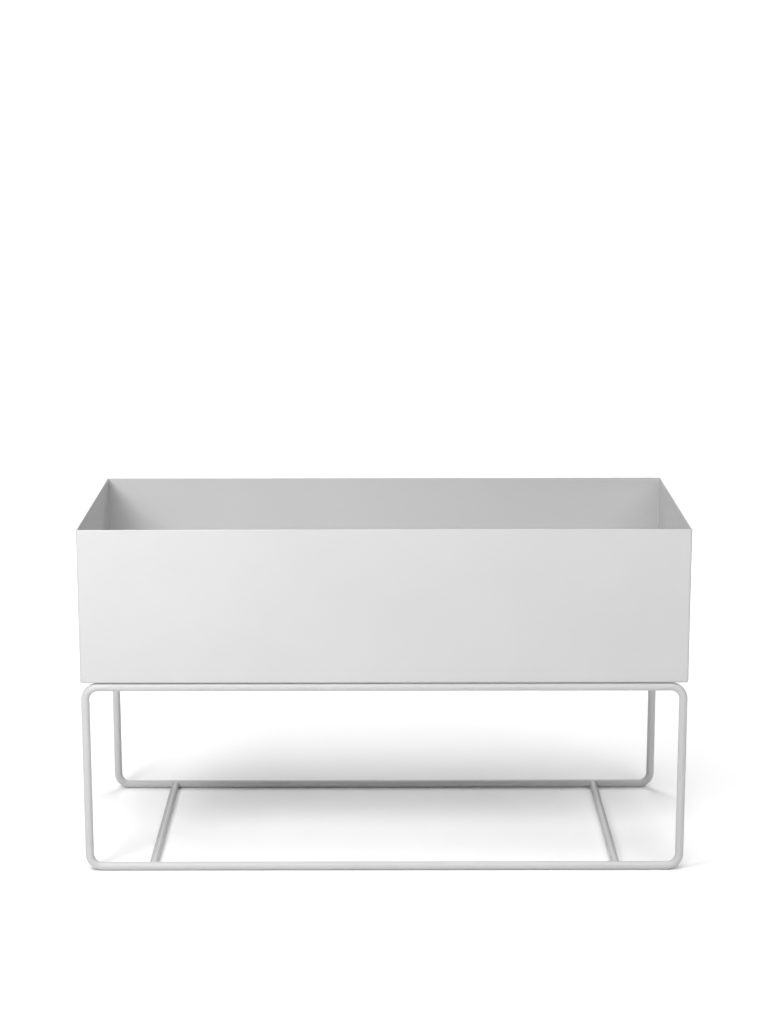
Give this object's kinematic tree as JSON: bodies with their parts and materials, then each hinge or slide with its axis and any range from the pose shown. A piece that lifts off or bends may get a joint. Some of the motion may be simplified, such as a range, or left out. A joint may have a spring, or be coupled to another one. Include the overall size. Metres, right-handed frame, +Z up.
{
  "type": "raised planter on legs",
  "caption": "Long open sheet-steel planter tray on a low stand of round bar, with closed loops front and back joined by cross bars.",
  "frame": {"origin": "on the floor, under the middle of the tray", "axes": "+X along the planter's length, -Y to its front, +Z up"},
  "size_m": [0.8, 0.35, 0.4675],
  "materials": {
    "tray_coat": "light grey powder coat, satin, very fine texture",
    "stand_coat": "light grey powder coat, satin, very fine texture",
    "stud_steel": "turned stainless steel",
    "zinc_plate": "bright zinc plate",
    "lock_nylon": "natural nylon"
  },
  "bodies": {
    "root": {"tray": "tray_coat", "front_loop": "stand_coat", "back_loop": "stand_coat", "lower_cross_bar_left": "stand_coat", "lower_cross_bar_right": "stand_coat", "upper_cross_bar_left": "stand_coat", "upper_cross_bar_right": "stand_coat", "mounting_tab_front_left": "stand_coat", "mounting_tab_front_right": "stand_coat", "mounting_tab_back_left": "stand_coat", "mounting_tab_back_right": "stand_coat", "weld_stud_front_left": "stud_steel", "weld_stud_front_right": "stud_steel", "weld_stud_back_left": "stud_steel", "weld_stud_back_right": "stud_steel", "washer_front_left": "zinc_plate", "washer_front_right": "zinc_plate", "washer_back_left": "zinc_plate", "washer_back_right": "zinc_plate", "lock_nut_front_left": "zinc_plate", "lock_nut_front_right": "zinc_plate", "lock_nut_back_left": "zinc_plate", "lock_nut_back_right": "zinc_plate", "lock_ring_front_left": "lock_nylon", "lock_ring_front_right": "lock_nylon", "lock_ring_back_left": "lock_nylon", "lock_ring_back_right": "lock_nylon"}
  },
  "joints": []
}
